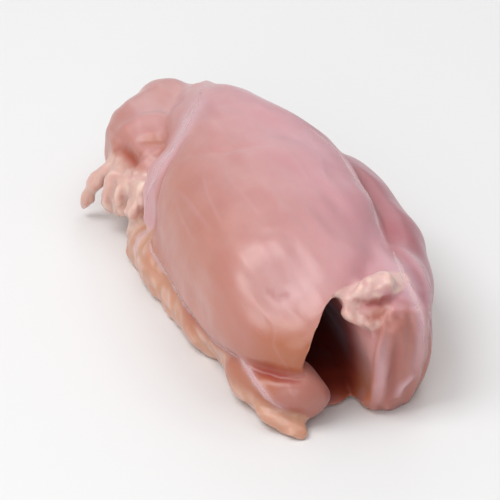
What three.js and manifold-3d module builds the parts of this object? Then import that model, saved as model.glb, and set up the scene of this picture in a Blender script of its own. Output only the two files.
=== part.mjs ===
// A raw boneless chicken thigh fillet, folded over on itself and resting on its flat underside:
// one solid of meat, membrane and fat, about 120 mm long.
// Millimetres. +Z is up, +Y runs from the open end to the thin far end, and +X is to the right of
// somebody who looks into the open end. The origin is on the resting face, in the middle of the box.

import * as THREE from 'three';
import { mergeVertices } from 'three/addons/utils/BufferGeometryUtils.js';
import Module from 'manifold-3d';

const wasm = await Module();
wasm.setup();

// Driving dimensions. The stations below are drawn at these sizes, and scale with them.
const LENGTH = 120;
const DRAWN_LENGTH = 120;
const SCALE = LENGTH / DRAWN_LENGTH;
const REST_BLOCK = 200;
const SAME_POINT = 1e-4;

const FLESH_COLOUR = 0xcb938f;
const FLESH_ROUGHNESS = 0.35;

// Every lobe is a ball drawn out along a path. A station gives the path's point and the section
// there: half its width, half its height, and its roll in degrees.
// squareness is the power of the section's superellipse (2 is an ellipse), nearBlunt and farBlunt
// are how full the two ends are, and ripple is the wavelength and the height of the surface's waves.
// Sections stand square to +Y where upright is set, and square to the path elsewhere.
const LOBES = {
  // The upper muscle: the broad smooth dome that hangs over the near end as a lip.
  dome: {
    stations: [
      [-8, -57, 15.5, 12.5, 12, 25],
      [-5, -43, 15.5, 18.5, 16.5, 10],
      [-1.5, -20, 14, 22.5, 20.4, 0],
      [1, 3, 13, 22.3, 21.2, 0],
      [3, 24, 12.3, 15.8, 18.6, 0],
      [5.5, 42, 12.5, 11, 14, 0],
      [7.5, 58, 12.5, 8, 10.5, 0],
    ],
    squareness: 2.3, nearBlunt: 2.9, farBlunt: 3.6, upright: true,
    ripple: [42, 0.5], seed: 1, sides: 48, rings: 34,
  },
  // The thicker muscle along the right side, with its cut face at the near end.
  flank: {
    stations: [
      [6.8, -59.6, 11.2, 7.4, 14, -8],
      [10.4, -46, 11.4, 9.9, 14.8, -9],
      [13.4, -24, 12.3, 11.6, 14.5, -20],
      [15.6, 2, 13, 11.5, 13, -26],
      [12, 22, 10, 10, 10, -15],
      [9, 40, 9, 8, 8, 0],
    ],
    squareness: 3, nearBlunt: 5, farBlunt: 2.4, upright: true,
    ripple: [30, 0.4], seed: 2, sides: 36, rings: 28,
  },
  // The small muscle at the far left, behind the raised ridge.
  farLobe: {
    stations: [
      [-13, 12, 9, 6, 8, 0],
      [-12.1, 26.2, 11, 9.3, 12, 0],
      [-9.4, 39, 12.2, 10.6, 11.8, 0],
      [-2.6, 49, 12.6, 9.2, 10.3, 0],
      [1.2, 58.5, 12.4, 7.6, 9.2, 0],
    ],
    squareness: 2.2, nearBlunt: 2.2, farBlunt: 4, upright: false,
    ripple: [22, 0.5], seed: 3, sides: 26, rings: 20,
  },
  // The raised ridge of membrane between the dome and the far lobe.
  ridge: {
    stations: [
      [9.4, 53, 21.2, 3, 2.2, 0],
      [-4, 34, 25.2, 2.6, 1.7, 0],
      [-9.6, 20.6, 24.3, 2.6, 1.7, 0],
      [-14.4, 16, 21.6, 3.2, 1.5, 0],
      [-17.8, 13.8, 17.8, 4, 1.3, 0],
      [-19.8, 12.4, 13.2, 4, 1.3, 0],
      [-20.8, 11, 8.4, 3.4, 1.4, 0],
    ],
    squareness: 2.2, nearBlunt: 2.2, farBlunt: 2.2, upright: false,
    ripple: [9, 0.2], seed: 4, sides: 10, rings: 26,
  },
  // The strip of fat and membrane along the left edge.
  edgeStrip: {
    stations: [
      [-15.5, 29, 4, 6, 5.6, 0],
      [-18.4, 13, 4, 5.6, 6.4, 0],
      [-18.3, -9, 4, 5.4, 5.7, 0],
      [-16.8, -26, 4, 5.4, 5.7, 0],
      [-15.5, -40, 5, 5, 6, 0],
    ],
    squareness: 2.3, nearBlunt: 2.2, farBlunt: 2.2, upright: false,
    ripple: [13, 0.5], seed: 5, sides: 18, rings: 32,
  },
  // The ragged fat that hangs off the left side: the rim of fat, the three folds that hang from it,
  // and the thin strand beside them.
  fringeRoot: {
    stations: [
      [-14, 35, 13.5, 2.6, 2.2, 0],
      [-18.2, 31, 13.2, 2.6, 2.2, 0],
      [-18.4, 25.5, 13.8, 2.6, 2.2, 0],
      [-17.2, 20, 15, 2.6, 2.2, 0],
      [-14.5, 16, 16.4, 2.4, 2, 0],
    ],
    squareness: 2.2, nearBlunt: 2.2, farBlunt: 2.2, upright: false,
    ripple: [6, 0.25], seed: 17, sides: 12, rings: 16,
  },
  farTassel: {
    stations: [
      [-13, 31, 14, 3.4, 3, 0],
      [-19.6, 29, 14, 3, 2.5, 0],
      [-21.8, 28.4, 10.8, 2.5, 2.2, 0],
      [-22.6, 29.6, 6.8, 2.2, 2, 0],
      [-22.4, 32, 2.4, 1.8, 1.6, 0],
    ],
    squareness: 2.2, nearBlunt: 2.2, farBlunt: 2.2, upright: false,
    ripple: [6, 0.3], seed: 6, sides: 12, rings: 12,
  },
  middleTassel: {
    stations: [
      [-13, 25.4, 13.4, 3.2, 3, 0],
      [-18.9, 25, 13.6, 2.4, 2.3, 0],
      [-21, 24.2, 11.2, 2.2, 2, 0],
      [-21.6, 25.4, 8, 2.1, 1.9, 0],
      [-21.2, 28, 3.8, 1.7, 1.5, 0],
    ],
    squareness: 2.2, nearBlunt: 2.2, farBlunt: 2.2, upright: false,
    ripple: [6, 0.35], seed: 7, sides: 12, rings: 12,
  },
  nearTassel: {
    stations: [
      [-13, 19.6, 14.6, 3.6, 3.2, 0],
      [-18, 20, 14.2, 3, 2.7, 0],
      [-20.2, 19, 12.2, 2.8, 2.4, 0],
      [-20.8, 19.6, 8.6, 2.6, 2.3, 0],
      [-20.2, 21.2, 4.2, 2.1, 1.9, 0],
    ],
    squareness: 2.2, nearBlunt: 2.2, farBlunt: 2.2, upright: false,
    ripple: [6, 0.35], seed: 8, sides: 12, rings: 12,
  },
  strand: {
    stations: [
      [-14, 32.6, 15, 3, 2.8, 0],
      [-19.6, 33.4, 13.8, 2.5, 2.3, 0],
      [-23.2, 34.6, 10.8, 2.1, 2, 0],
      [-25, 36, 6.8, 1.9, 1.8, 0],
      [-25.8, 37, 3.2, 1.6, 1.5, 0],
      [-25.8, 37.6, 0.8, 1.4, 1, 0],
    ],
    squareness: 2.2, nearBlunt: 2.2, farBlunt: 2.2, upright: false,
    ripple: [5, 0.2], seed: 9, sides: 8, rings: 20,
  },
};

// What lies in front of the hollow, and is added after it is cut.
const FLAPS = {
  // The thin lower layer of the fold, which closes the hollow underneath.
  foldFloor: {
    stations: [
      [-4, -53.5, 0.8, 7, 1.4, 0],
      [-4.5, -46, 1.2, 8.5, 2.2, 0],
      [-3, -34, 1.6, 8.5, 3, 0],
      [-1, -22, 3, 6, 4, 0],
    ],
    squareness: 2.2, nearBlunt: 2.2, farBlunt: 2.2, upright: false,
    ripple: [9, 0.2], seed: 18, sides: 24, rings: 20,
  },
  // The flap that turns in under the lip and points into the hollow.
  tongue: {
    stations: [
      [-17, -28, 4.5, 4.5, 6, 0],
      [-16.4, -40, 5, 6, 6.5, 8],
      [-14.2, -49.5, 5.4, 6.2, 6.2, 12],
      [-9.8, -54.2, 5.2, 5.4, 5.6, 10],
      [-5, -54.6, 4.2, 3.4, 4, 0],
    ],
    squareness: 2.2, nearBlunt: 2.2, farBlunt: 2, upright: false,
    ripple: [13, 0.3], seed: 10, sides: 18, rings: 22,
  },
  // The thin point of fat at the nearest corner.
  cornerTip: {
    stations: [
      [-16, -45, 3.6, 6, 4, 0],
      [-15.8, -53.5, 2.6, 5, 2.6, 0],
      [-14.8, -58.4, 1.5, 3.4, 1.7, 0],
      [-13.3, -61.8, 0.7, 1.8, 0.9, 0],
    ],
    squareness: 2.3, nearBlunt: 2.2, farBlunt: 1.6, upright: false,
    ripple: [7, 0.3], seed: 11, sides: 14, rings: 12,
  },
  // The lump of fat above the hollow, where the lip meets the right muscle, the soft pad under it
  // and the thin band of fat that runs down from it along the edge of the cut face.
  fatLump: {
    stations: [
      [-1.6, -51.2, 24, 2, 1.9, 0],
      [1.2, -51.6, 24.8, 2.6, 2.4, 0],
      [4.2, -51.6, 25.4, 3, 2.8, 0],
      [7, -51.2, 25.8, 3, 3, 0],
      [9, -50.6, 26, 2.4, 2.6, 0],
    ],
    squareness: 2.2, nearBlunt: 2.2, farBlunt: 3, upright: false,
    ripple: [6, 0.35], seed: 12, sides: 16, rings: 14,
  },
  fatPad: {
    stations: [
      [-0.8, -50.6, 21.4, 2, 2.4, 0],
      [2.4, -51.8, 21.6, 3.2, 3.2, 0],
      [6.4, -52.6, 21.8, 3, 3, 0],
      [10, -51.4, 22, 2.2, 2.4, 0],
    ],
    squareness: 2.2, nearBlunt: 2.2, farBlunt: 2.2, upright: false,
    ripple: [6, 0.2], seed: 16, sides: 14, rings: 12,
  },
  fatBand: {
    stations: [
      [-2, -51.6, 23.4, 1.7, 1.6, 0],
      [-1, -53.4, 21.4, 1.4, 1.4, 0],
      [0.6, -54.8, 20.2, 1.4, 1.4, 0],
      [2.8, -55.8, 19.9, 1.2, 1.2, 0],
      [5.2, -56.2, 20.2, 1, 1, 0],
    ],
    squareness: 2.3, nearBlunt: 2.2, farBlunt: 2.2, upright: false,
    ripple: [6, 0.3], seed: 13, sides: 10, rings: 14,
  },
};

// The empty fold that opens at the near end, wide below and narrow at the top.
const HOLLOW = {
  stations: [
    [-6, -72, 7, 7.4, 18.5, -6],
    [-5.2, -52, 7, 7.4, 17.8, -6],
    [-3, -34, 8, 5.6, 12, 0],
    [0, -14, 7, 2, 4, 0],
  ],
  squareness: 1.5, nearBlunt: 4, farBlunt: 2.2, upright: true,
  ripple: [13, 0], seed: 14, sides: 20, rings: 20,
};

const RIPPLE_WAVES = 7;
const GOLDEN_ANGLE = 2.399963;
const GOLDEN_RATIO = 0.618034;
const PLASTIC_RATIO = 0.754878;
const TURN_PER_SEED = 3.7;
const RISE_PER_SEED = 0.37;
const SPREAD_PER_SEED = 0.11;
const SHORTEST_WAVE = 0.75;
const WAVE_SPREAD = 0.5;
const PHASE_PER_WAVE = 1.9;

// Waves over the surface: a sum of sines in evenly spread directions, with wavelengths near the
// one asked for. The seed turns the directions.
function rippleAt(point, wavelength, seed) {
  let sum = 0;
  for (let i = 0; i < RIPPLE_WAVES; i += 1) {
    const turn = GOLDEN_ANGLE * (i + TURN_PER_SEED * seed);
    const rise = 1 - 2 * ((i * GOLDEN_RATIO + RISE_PER_SEED * seed) % 1);
    const flat = Math.sqrt(1 - rise * rise);
    const spread = SHORTEST_WAVE + WAVE_SPREAD * ((i * PLASTIC_RATIO + SPREAD_PER_SEED * seed) % 1);
    const along = point.x * flat * Math.cos(turn) + point.y * flat * Math.sin(turn) + point.z * rise;
    const phase = PHASE_PER_WAVE * i + seed;
    sum += Math.sin((2 * Math.PI * along) / (wavelength * spread) + phase);
  }
  return sum / Math.sqrt(RIPPLE_WAVES / 2);
}

// How far out the section's superellipse lies in the direction of an angle.
function superellipse(angle, power) {
  const across = Math.abs(Math.cos(angle)) ** power;
  const upward = Math.abs(Math.sin(angle)) ** power;
  return (across + upward) ** (-1 / power);
}

// A lobe's closed surface: each point of a unit ball goes to the section at its place along the
// path, at the same angle round it. The ball's Y is the way along, and its X and Z the way round.
function lobeGeometry(lobe) {
  const path = new THREE.CatmullRomCurve3(
    lobe.stations.map(([x, y, z]) => new THREE.Vector3(x, y, z)), false, 'catmullrom');
  const girth = new THREE.CatmullRomCurve3(
    lobe.stations.map(([, , , wide, high, roll]) => new THREE.Vector3(wide, high, roll)), false, 'catmullrom');
  const up = new THREE.Vector3(0, 0, 1);
  const [wavelength, height] = lobe.ripple;
  const geometry = new THREE.SphereGeometry(1, lobe.sides, lobe.rings);
  const ball = geometry.getAttribute('position');

  for (let i = 0; i < ball.count; i += 1) {
    const along = THREE.MathUtils.clamp(ball.getY(i), -1, 1);
    const angle = Math.atan2(ball.getZ(i), ball.getX(i));
    const t = (1 + along) / 2;
    const section = girth.getPoint(t);
    const tangent = lobe.upright ? new THREE.Vector3(0, 1, 0) : path.getTangent(t);
    const side = new THREE.Vector3().crossVectors(tangent, up).normalize();
    const rise = new THREE.Vector3().crossVectors(side, tangent);
    const blunt = along < 0 ? lobe.nearBlunt : lobe.farBlunt;
    const closing = (1 - Math.abs(along) ** blunt) ** (1 / blunt);
    const reach = closing * superellipse(angle, lobe.squareness);
    const across = reach * section.x * Math.cos(angle);
    const upward = reach * section.y * Math.sin(angle);
    const roll = THREE.MathUtils.degToRad(section.z);
    const out = new THREE.Vector3()
      .addScaledVector(side, across * Math.cos(roll) - upward * Math.sin(roll))
      .addScaledVector(rise, across * Math.sin(roll) + upward * Math.cos(roll));
    const point = path.getPoint(t).add(out);
    point.addScaledVector(out.normalize(), height * rippleAt(point, wavelength, lobe.seed));
    ball.setXYZ(i, point.x, point.y, point.z);
  }
  return geometry;
}

// A closed geometry as a solid that can be joined and cut.
function solidOf(geometry) {
  geometry.deleteAttribute('normal');
  geometry.deleteAttribute('uv');
  const merged = mergeVertices(geometry, SAME_POINT);
  return new wasm.Manifold(new wasm.Mesh({
    numProp: 3,
    vertProperties: new Float32Array(merged.getAttribute('position').array),
    triVerts: new Uint32Array(merged.getIndex().array),
  }));
}

// A solid as a three.js geometry with flat facets.
function geometryOf(solid) {
  const mesh = solid.getMesh();
  const geometry = new THREE.BufferGeometry();
  geometry.setAttribute('position', new THREE.BufferAttribute(mesh.vertProperties, 3));
  geometry.setIndex(new THREE.BufferAttribute(mesh.triVerts, 1));
  return geometry;
}

// Several lobes grown together into one solid.
function joined(lobes) {
  const solids = Object.values(lobes).map((lobe) => solidOf(lobeGeometry(lobe)));
  return solids.reduce((whole, solid) => whole.add(solid));
}

// The flesh: the lobes with the hollow taken out, then the flaps in front of it, with everything
// below the resting face cut away.
function filletGeometry() {
  const below = new THREE.BoxGeometry(REST_BLOCK, REST_BLOCK, REST_BLOCK);
  below.translate(0, 0, -REST_BLOCK / 2);
  const folded = joined(LOBES).subtract(solidOf(lobeGeometry(HOLLOW)));
  const whole = folded.add(joined(FLAPS)).subtract(solidOf(below));

  const geometry = geometryOf(whole);
  geometry.computeBoundingBox();
  const middle = geometry.boundingBox.getCenter(new THREE.Vector3());
  geometry.translate(-middle.x, -middle.y, 0);
  geometry.scale(SCALE, SCALE, SCALE);
  geometry.computeVertexNormals();
  return geometry;
}

const flesh = new THREE.MeshStandardMaterial({
  color: FLESH_COLOUR,
  roughness: FLESH_ROUGHNESS,
  metalness: 0,
  flatShading: true,
});

const fillet = new THREE.Mesh(filletGeometry(), flesh);
fillet.name = 'fillet';

const group = new THREE.Group();
group.add(fillet);

export default group;
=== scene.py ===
# %% [markdown]
# # A raw chicken thigh fillet
# A boneless thigh is a sheet of three or four muscles in a thin wet skin of membrane, folded over on
# itself. The eye reads a broad smooth dome, a lip that hangs over a dark fold, and pale fat that clings
# to one edge in folds and threads. The lesson grows that form from closed lobes, works its relief out
# with numpy, and lets masks on the skin tell one material where the tissues are and where light and
# shade are painted into the colour.

# %% Load the frame that the fillet has to fit
import itertools

import bpy
import numpy as np
from mathutils import Matrix, Vector


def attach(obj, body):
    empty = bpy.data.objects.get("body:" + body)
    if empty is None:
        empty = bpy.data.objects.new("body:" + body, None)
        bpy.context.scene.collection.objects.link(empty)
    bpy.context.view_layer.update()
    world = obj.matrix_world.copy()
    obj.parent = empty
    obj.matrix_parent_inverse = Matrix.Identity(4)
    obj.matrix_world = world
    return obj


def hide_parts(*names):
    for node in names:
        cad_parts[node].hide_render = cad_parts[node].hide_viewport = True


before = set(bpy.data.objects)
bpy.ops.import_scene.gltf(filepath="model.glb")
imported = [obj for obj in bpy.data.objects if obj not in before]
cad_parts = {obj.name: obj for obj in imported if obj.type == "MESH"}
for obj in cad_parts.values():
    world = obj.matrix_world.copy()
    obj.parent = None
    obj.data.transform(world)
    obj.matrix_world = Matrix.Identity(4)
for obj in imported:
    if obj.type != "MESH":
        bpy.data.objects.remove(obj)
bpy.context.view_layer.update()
MM = 0.001

# %% [markdown]
# The fillet is drawn in millimetres, in the same stations as its solid. A station is a point on a
# lobe's path with half the width, half the height and the roll of the section there. Muscles come
# first, then the hollow of the fold is cut. The fringe of fat on the left edge is thin, so it is
# grown apart and spared most of the smoothing, as are the flaps that hang in front of the hollow.

# %% Name the lobes
# stations: x, y, z, half the width, half the height, all in millimetres, and the roll in degrees
# power: 2 makes a section an ellipse and more makes it squarer; blunt: the same for the two ends
# upright: the sections face +Y and don't turn with the path; ripple: its wavelength and height
# grid: how many points go round a section and along the path
SLENDER = dict(power=2.2, blunt=(2.2, 2.2), upright=False)
MUSCLES = {
    "dome": dict(
        stations=[(-8, -57, 15.5, 12.5, 12, 25), (-5, -43, 15.5, 18.5, 16.5, 10),
                  (-1.5, -20, 14, 22.5, 20.4, 0), (1, 3, 13, 22.3, 21.2, 0),
                  (3, 24, 12.3, 15.8, 18.6, 0), (5.5, 42, 12.5, 11, 14, 0),
                  (7.5, 58, 12.5, 8, 10.5, 0)],
        power=2.3, blunt=(2.9, 3.6), upright=True, ripple=(42, 0.5), seed=1, grid=(110, 90)),
    "flank": dict(
        stations=[(6.8, -59.6, 11.2, 7.4, 14, -8), (10.4, -46, 11.4, 9.9, 14.8, -9),
                  (13.4, -24, 12.3, 11.6, 14.5, -20), (15.6, 2, 13, 11.5, 13, -26),
                  (12, 22, 10, 10, 10, -15), (9, 40, 9, 8, 8, 0)],
        power=3, blunt=(5, 2.4), upright=True, ripple=(30, 0.4), seed=2, grid=(80, 80)),
    "far_lobe": dict(
        stations=[(-13, 12, 9, 6, 8, 0), (-12.1, 26.2, 11, 9.3, 12, 0),
                  (-9.4, 39, 12.2, 10.6, 11.8, 0), (-2.6, 49, 12.6, 9.2, 10.3, 0),
                  (1.2, 58.5, 12.4, 7.6, 9.2, 0)],
        power=2.2, blunt=(2.2, 4), upright=False, ripple=(22, 0.5), seed=3, grid=(64, 56)),
    "ridge": dict(
        SLENDER,
        stations=[(9.4, 53, 21.2, 3, 2.2, 0), (-4, 34, 25.2, 2.6, 1.7, 0),
                  (-9.6, 20.6, 24.3, 2.6, 1.7, 0), (-14.4, 16, 21.6, 3.2, 1.5, 0),
                  (-17.8, 13.8, 17.8, 4, 1.3, 0), (-19.8, 12.4, 13.2, 4, 1.3, 0),
                  (-20.8, 11, 8.4, 3.4, 1.4, 0)],
        ripple=(9, 0.2), seed=4, grid=(24, 70)),
    "edge_strip": dict(
        stations=[(-15.5, 29, 4, 6, 5.6, 0), (-18.4, 13, 4, 5.6, 6.4, 0),
                  (-18.3, -9, 4, 5.4, 5.7, 0), (-16.8, -26, 4, 5.4, 5.7, 0),
                  (-15.5, -40, 5, 5, 6, 0)],
        power=2.3, blunt=(2.2, 2.2), upright=False, ripple=(13, 0.5), seed=5, grid=(48, 90)),
}
FRINGE = {
    "fringe_root": dict(
        SLENDER,
        stations=[(-14, 35, 13.5, 2.6, 2.2, 0), (-18.2, 31, 13.2, 2.6, 2.2, 0),
                  (-18.4, 25.5, 13.8, 2.6, 2.2, 0), (-17.2, 20, 15, 2.6, 2.2, 0),
                  (-14.5, 16, 16.4, 2.4, 2, 0)],
        ripple=(6, 0.25), seed=17, grid=(36, 50)),
    "far_tassel": dict(
        SLENDER,
        stations=[(-13, 31, 14, 3.4, 3, 0), (-19.6, 29, 14, 3, 2.5, 0),
                  (-21.8, 28.4, 10.8, 2.5, 2.2, 0), (-22.6, 29.6, 6.8, 2.2, 2, 0),
                  (-22.4, 32, 2.4, 1.8, 1.6, 0)],
        ripple=(6, 0.3), seed=6, grid=(36, 36)),
    "middle_tassel": dict(
        SLENDER,
        stations=[(-13, 25.4, 13.4, 3.2, 3, 0), (-18.9, 25, 13.6, 2.4, 2.3, 0),
                  (-21, 24.2, 11.2, 2.2, 2, 0), (-21.6, 25.4, 8, 2.1, 1.9, 0),
                  (-21.2, 28, 3.8, 1.7, 1.5, 0)],
        ripple=(6, 0.35), seed=7, grid=(36, 36)),
    "near_tassel": dict(
        SLENDER,
        stations=[(-13, 19.6, 14.6, 3.6, 3.2, 0), (-18, 20, 14.2, 3, 2.7, 0),
                  (-20.2, 19, 12.2, 2.8, 2.4, 0), (-20.8, 19.6, 8.6, 2.6, 2.3, 0),
                  (-20.2, 21.2, 4.2, 2.1, 1.9, 0)],
        ripple=(6, 0.35), seed=8, grid=(36, 36)),
    "strand": dict(
        SLENDER,
        stations=[(-14, 32.6, 15, 3, 2.8, 0), (-19.6, 33.4, 13.8, 2.5, 2.3, 0),
                  (-23.2, 34.6, 10.8, 2.1, 2, 0), (-25, 36, 6.8, 1.9, 1.8, 0),
                  (-25.8, 37, 3.2, 1.6, 1.5, 0), (-25.8, 37.6, 0.8, 1.4, 1, 0)],
        ripple=(5, 0.2), seed=9, grid=(24, 60)),
}
HOLLOW = dict(
    stations=[(-6, -72, 7, 7.4, 18.5, -6), (-5.2, -52, 7, 7.4, 17.8, -6), (-3, -34, 8, 5.6, 12, 0),
              (0, -14, 7, 2, 4, 0)],
    power=1.5, blunt=(4, 2.2), upright=True, ripple=(13, 0), seed=14, grid=(48, 48))
FLAPS = {
    "fold_floor": dict(
        SLENDER,
        stations=[(-4, -53.5, 0.8, 7, 1.4, 0), (-4.5, -46, 1.2, 8.5, 2.2, 0),
                  (-3, -34, 1.6, 8.5, 3, 0), (-1, -22, 3, 6, 4, 0)],
        ripple=(9, 0.2), seed=18, grid=(40, 40)),
    "tongue": dict(
        stations=[(-17, -28, 4.5, 4.5, 6, 0), (-16.4, -40, 5, 6, 6.5, 8),
                  (-14.2, -49.5, 5.4, 6.2, 6.2, 12), (-9.8, -54.2, 5.2, 5.4, 5.6, 10),
                  (-5, -54.6, 4.2, 3.4, 4, 0)],
        power=2.2, blunt=(2.2, 2), upright=False, ripple=(13, 0.3), seed=10, grid=(48, 60)),
    "corner_tip": dict(
        stations=[(-16, -45, 3.6, 6, 4, 0), (-15.8, -53.5, 2.6, 5, 2.6, 0),
                  (-14.8, -58.4, 1.5, 3.4, 1.7, 0), (-13.3, -61.8, 0.7, 1.8, 0.9, 0)],
        power=2.3, blunt=(2.2, 1.6), upright=False, ripple=(7, 0.3), seed=11, grid=(36, 36)),
    "fat_lump": dict(
        stations=[(-1.6, -51.2, 24, 2, 1.9, 0), (1.2, -51.6, 24.8, 2.6, 2.4, 0),
                  (4.2, -51.6, 25.4, 3, 2.8, 0), (7, -51.2, 25.8, 3, 3, 0),
                  (9, -50.6, 26, 2.4, 2.6, 0)],
        power=2.2, blunt=(2.2, 3), upright=False, ripple=(6, 0.35), seed=12, grid=(40, 40)),
    "fat_pad": dict(
        SLENDER,
        stations=[(-0.8, -50.6, 21.4, 2, 2.4, 0), (2.4, -51.8, 21.6, 3.2, 3.2, 0),
                  (6.4, -52.6, 21.8, 3, 3, 0), (10, -51.4, 22, 2.2, 2.4, 0)],
        ripple=(6, 0.2), seed=16, grid=(36, 40)),
    "fat_band": dict(
        stations=[(-2, -51.6, 23.4, 1.7, 1.6, 0), (-1, -53.4, 21.4, 1.4, 1.4, 0),
                  (0.6, -54.8, 20.2, 1.4, 1.4, 0), (2.8, -55.8, 19.9, 1.2, 1.2, 0),
                  (5.2, -56.2, 20.2, 1, 1, 0)],
        power=2.3, blunt=(2.2, 2.2), upright=False, ripple=(6, 0.3), seed=13, grid=(28, 40)),
}
print(len(MUSCLES), "muscles,", len(FRINGE), "folds of fringe and", len(FLAPS), "flaps")

# %% [markdown]
# A lobe's path passes through its stations without a corner. Straight pieces would show as facets,
# and one polynomial through all of them would swing between them. A cubic for each pair does not.

# %% Pass a smooth path through stations
PATH_STEP = 1e-4


def through(stations, t):
    """Catmull-Rom: a cubic through each pair of stations, with half the chord between their
    neighbours as its slope at each end."""
    k = np.asarray(stations, float)
    spans = len(k) - 1
    k = np.vstack([2 * k[0] - k[1], k, 2 * k[-1] - k[-2]])
    place = np.clip(t * spans, 0, spans - 1e-9)
    i = place.astype(int)
    w = (place - i)[:, None]
    a, b, c, d = k[i], k[i + 1], k[i + 2], k[i + 3]
    return 0.5 * (2 * b + (c - a) * w + (2 * a - 5 * b + 4 * c - d) * w ** 2
                  + (3 * b - a - 3 * c + d) * w ** 3)


def unit(vectors):
    """Each vector over its own length."""
    return vectors / (np.linalg.norm(vectors, axis=-1, keepdims=True) + 1e-12)


def path_axes(places, t, upright):
    """Side and rise of the sections at t: square to the path, or to +Y where upright is set. The
    path's direction is the difference of two places a small step to either side."""
    ahead = through(places, np.clip(t + PATH_STEP, 0, 1))
    behind = through(places, np.clip(t - PATH_STEP, 0, 1))
    tangent = np.tile([0.0, 1.0, 0.0], (len(t), 1)) if upright else unit(ahead - behind)
    side = unit(np.cross(tangent, [0.0, 0.0, 1.0]))
    return side, np.cross(side, tangent)


half_way = through([s[:3] for s in MUSCLES["dome"]["stations"]], np.array([0.5]))[0]
print("half way along, the dome's path is at", half_way.round(1), "mm")

# %% [markdown]
# Meat is never quite even, so every surface gets a faint ripple. A noise texture could move the mesh
# as well, but a sum of sines is short in numpy, and the same seed always gives the same ripple.

# %% Work out a ripple
RIPPLE_WAVES = 7
GOLDEN_ANGLE = 2.399963
GOLDEN_RATIO = 0.618034
PLASTIC_RATIO = 0.754878
TURN_PER_SEED = 3.7
RISE_PER_SEED = 0.37
SPREAD_PER_SEED = 0.11
SHORTEST_WAVE = 0.75
WAVE_SPREAD = 0.5
PHASE_PER_WAVE = 1.9


def ripple_at(points, wavelength, seed):
    """A sum of sines of the place along seven evenly spread directions, with wavelengths within a
    quarter of the one asked for, over the root of half their number."""
    total = 0
    for i in range(RIPPLE_WAVES):
        turn = GOLDEN_ANGLE * (i + TURN_PER_SEED * seed)
        rise = 1 - 2 * ((i * GOLDEN_RATIO + RISE_PER_SEED * seed) % 1)
        flat = np.sqrt(1 - rise * rise)
        spread = SHORTEST_WAVE + WAVE_SPREAD * ((i * PLASTIC_RATIO + SPREAD_PER_SEED * seed) % 1)
        way = np.array([flat * np.cos(turn), flat * np.sin(turn), rise])
        phase = PHASE_PER_WAVE * i + seed
        total = total + np.sin(2 * np.pi * (points @ way) / (wavelength * spread) + phase)
    return total / np.sqrt(RIPPLE_WAVES / 2)


print("a ripple is a sum of", RIPPLE_WAVES, "sines")

# %% [markdown]
# A lobe is a two-parameter surface: one parameter runs along the path and one round the section.
# Its ends close to a point, so every lobe is a closed skin that others can be joined to.

# %% Work out a lobe's surface
def lobe_surface(stations, power, blunt, upright, ripple, seed, grid):
    """P(u, t) = path(t) + closing(t) * superellipse(u) * (width * side + height * rise), rolled,
    and moved out by the ripple. closing(t) = (1 - |2t - 1|^b)^(1/b) shuts both ends."""
    around, along = grid
    t = (1 - np.cos(np.linspace(0, np.pi, along))) / 2
    places = [station[:3] for station in stations]
    path = through(places, t)
    girth = through([station[3:] for station in stations], t)
    side, rise = path_axes(places, t, upright)
    s = 2 * t - 1
    b = np.where(s < 0, blunt[0], blunt[1])
    closing = np.maximum(1 - np.abs(s) ** b, 0) ** (1 / b)
    u = np.linspace(0, 2 * np.pi, around, endpoint=False)[:, None]
    ring = (np.abs(np.cos(u)) ** power + np.abs(np.sin(u)) ** power) ** (-1 / power)
    across = ring * np.cos(u) * girth[:, 0] * closing
    upward = ring * np.sin(u) * girth[:, 1] * closing
    roll = np.radians(girth[:, 2])
    out = ((across * np.cos(roll) - upward * np.sin(roll))[..., None] * side
           + (across * np.sin(roll) + upward * np.cos(roll))[..., None] * rise)
    points = path + out
    wavelength, height = ripple
    return points + unit(out) * (height * ripple_at(points, wavelength, seed))[..., None]


surfaces = {name: lobe_surface(**lobe) for name, lobe in (MUSCLES | FRINGE | FLAPS).items()}
drawn = np.concatenate([s.reshape(-1, 3) for s in surfaces.values()])
drawn = drawn[drawn[:, 2] > 0]
TO_FRAME = np.append(-(drawn[:, :2].min(0) + drawn[:, :2].max(0)) / 2, 0.0)
print("drawn lobes move by", TO_FRAME.round(2), "mm into the frame")

# %% [markdown]
# A surface becomes a mesh when its points get corners: quads between the rows of its grid, and a fan
# of triangles at either end. One object may hold several such skins, which still overlap.

# %% Turn surfaces into meshes
def piece_of(name, vertices, faces):
    """Makes an object from places in millimetres and lists of corners."""
    mesh = bpy.data.meshes.new(name)
    mesh.from_pydata((np.asarray(vertices) * MM).tolist(), [], faces)
    mesh.update()
    piece = bpy.data.objects.new(name, mesh)
    bpy.context.scene.collection.objects.link(piece)
    return piece


def closed_skin(points):
    """Corners of a grid that is closed round u and shut by a point at each end of t."""
    around, along = points.shape[:2]
    inner = along - 2
    row = np.arange(around)[:, None] * inner
    next_row = np.roll(row, -1, axis=0)
    col = np.arange(inner - 1)[None]
    quads = np.stack([row + col, row + col + 1, next_row + col + 1, next_row + col], -1)
    near, far = around * inner, around * inner + 1
    first, after = row[:, 0], next_row[:, 0]
    near_fan = np.stack([np.full(around, near), first, after], -1)
    far_fan = np.stack([np.full(around, far), after + inner - 1, first + inner - 1], -1)
    vertices = np.vstack([points[:, 1:-1].reshape(-1, 3), points[0, 0], points[0, -1]])
    return vertices, quads.reshape(-1, 4).tolist() + near_fan.tolist() + far_fan.tolist()


def skins_of(name, grids):
    """One object that holds several closed skins."""
    vertices, faces, count = [], [], 0
    for points in grids:
        v, f = closed_skin(points)
        vertices.append(v)
        faces += [[i + count for i in face] for face in f]
        count += len(v)
    return piece_of(name, np.vstack(vertices), faces)


print("the dome's skin has", len(closed_skin(surfaces["dome"])[1]), "faces")

# %% [markdown]
# Lobes become flesh when they lose the seams between them. Booleans alone leave sharp creases, and
# a subdivision cage would need its topology planned by hand. A voxel remesh grows overlapping skins
# into one even mesh, which a little smoothing makes soft, as fat and muscle are.

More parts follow.
